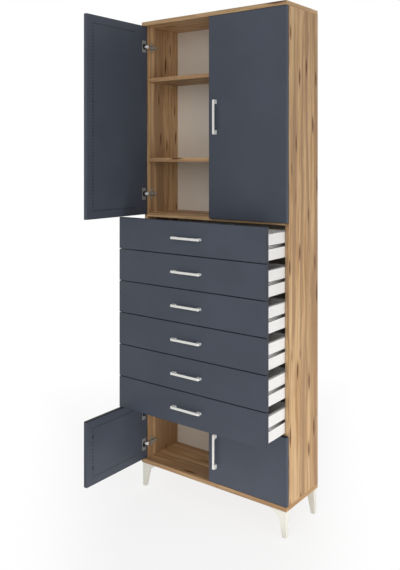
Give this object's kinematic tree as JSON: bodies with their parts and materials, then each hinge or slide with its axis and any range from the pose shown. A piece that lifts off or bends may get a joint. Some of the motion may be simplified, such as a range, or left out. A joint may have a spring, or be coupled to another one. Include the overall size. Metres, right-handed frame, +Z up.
{
  "type": "storage cabinet",
  "caption": "Tall narrow oak-look storage cabinet on tapered feet, with slate-grey doors above and below a bank of drawers, bow handles and adjustable shelves.",
  "frame": {"origin": "on the floor, under the middle of the case (its top and bottom boards)", "axes": "+Z up; the front faces -Y; +X to the right as seen from the front"},
  "size_m": [0.699, 0.557, 1.895],
  "materials": {
    "oak_board": "satin oak-look foil on chipboard",
    "slate_front": "matt slate-grey foil on chipboard",
    "back_board": "matt beige hardboard",
    "white_board": "matt white foil on chipboard",
    "dowel_wood": "plain beech",
    "satin_nickel": "satin nickel on cast metal",
    "plated_steel": "bright zinc or nickel plate on steel",
    "cream_plastic": "matt cream plastic"
  },
  "bodies": {
    "carcass": {"top_board": "oak_board", "bottom_board": "oak_board", "left_side": "oak_board", "right_side": "oak_board", "upper_divider": "oak_board", "lower_divider": "oak_board", "high_shelf": "oak_board", "low_shelf": "oak_board", "back_panel": "back_board", "shelf_pins": "plated_steel", "feet": "cream_plastic", "foot_studs": "plated_steel", "carcass_dowels": "dowel_wood", "carcass_screws": "plated_steel", "hinge_arms": "plated_steel", "hinge_plates": "plated_steel", "cabinet_runners": "plated_steel"},
    "upper_left_door": {"upper_left_door_panel": "slate_front", "upper_left_hinge_cups": "plated_steel", "upper_left_door_handle": "satin_nickel"},
    "upper_right_door": {"upper_right_door_panel": "slate_front", "upper_right_hinge_cups": "plated_steel", "upper_right_door_handle": "satin_nickel"},
    "lower_left_door": {"lower_left_door_panel": "slate_front", "lower_left_hinge_cups": "plated_steel", "lower_left_door_handle": "satin_nickel"},
    "lower_right_door": {"lower_right_door_panel": "slate_front", "lower_right_hinge_cups": "plated_steel", "lower_right_door_handle": "satin_nickel"},
    "drawer_1": {"drawer_1_front": "slate_front", "drawer_1_walls": "white_board", "drawer_1_bottom": "white_board", "drawer_1_runners": "plated_steel", "drawer_1_handle": "satin_nickel"},
    "drawer_2": {"drawer_2_front": "slate_front", "drawer_2_walls": "white_board", "drawer_2_bottom": "white_board", "drawer_2_runners": "plated_steel", "drawer_2_handle": "satin_nickel"},
    "drawer_3": {"drawer_3_front": "slate_front", "drawer_3_walls": "white_board", "drawer_3_bottom": "white_board", "drawer_3_runners": "plated_steel", "drawer_3_handle": "satin_nickel"},
    "drawer_4": {"drawer_4_front": "slate_front", "drawer_4_walls": "white_board", "drawer_4_bottom": "white_board", "drawer_4_runners": "plated_steel", "drawer_4_handle": "satin_nickel"},
    "drawer_5": {"drawer_5_front": "slate_front", "drawer_5_walls": "white_board", "drawer_5_bottom": "white_board", "drawer_5_runners": "plated_steel", "drawer_5_handle": "satin_nickel"},
    "drawer_6": {"drawer_6_front": "slate_front", "drawer_6_walls": "white_board", "drawer_6_bottom": "white_board", "drawer_6_runners": "plated_steel", "drawer_6_handle": "satin_nickel"}
  },
  "joints": [
    {"name": "upper_left_door_hinge", "type": "hinge", "parent": "carcass", "child": "upper_left_door", "pos_m": [-0.332, -0.109, 1.49375], "axis": [0, 0, -1], "range_deg": [-90, 15]},
    {"name": "upper_right_door_hinge", "type": "hinge", "parent": "carcass", "child": "upper_right_door", "pos_m": [0.332, -0.109, 1.49375], "axis": [0, 0, 1], "range_deg": [0, 105]},
    {"name": "lower_left_door_hinge", "type": "hinge", "parent": "carcass", "child": "lower_left_door", "pos_m": [-0.332, -0.109, 0.23425], "axis": [0, 0, -1], "range_deg": [-90, 15]},
    {"name": "lower_right_door_hinge", "type": "hinge", "parent": "carcass", "child": "lower_right_door", "pos_m": [0.332, -0.109, 0.23425], "axis": [0, 0, 1], "range_deg": [0, 105]},
    {"name": "drawer_1_slide", "type": "slide", "parent": "carcass", "child": "drawer_1", "axis": [0, -1, 0], "range_m": [-0.133, 0]},
    {"name": "drawer_2_slide", "type": "slide", "parent": "carcass", "child": "drawer_2", "axis": [0, -1, 0], "range_m": [-0.133, 0]},
    {"name": "drawer_3_slide", "type": "slide", "parent": "carcass", "child": "drawer_3", "axis": [0, -1, 0], "range_m": [-0.133, 0]},
    {"name": "drawer_4_slide", "type": "slide", "parent": "carcass", "child": "drawer_4", "axis": [0, -1, 0], "range_m": [-0.133, 0]},
    {"name": "drawer_5_slide", "type": "slide", "parent": "carcass", "child": "drawer_5", "axis": [0, -1, 0], "range_m": [-0.133, 0]},
    {"name": "drawer_6_slide", "type": "slide", "parent": "carcass", "child": "drawer_6", "axis": [0, -1, 0], "range_m": [-0.133, 0]}
  ]
}
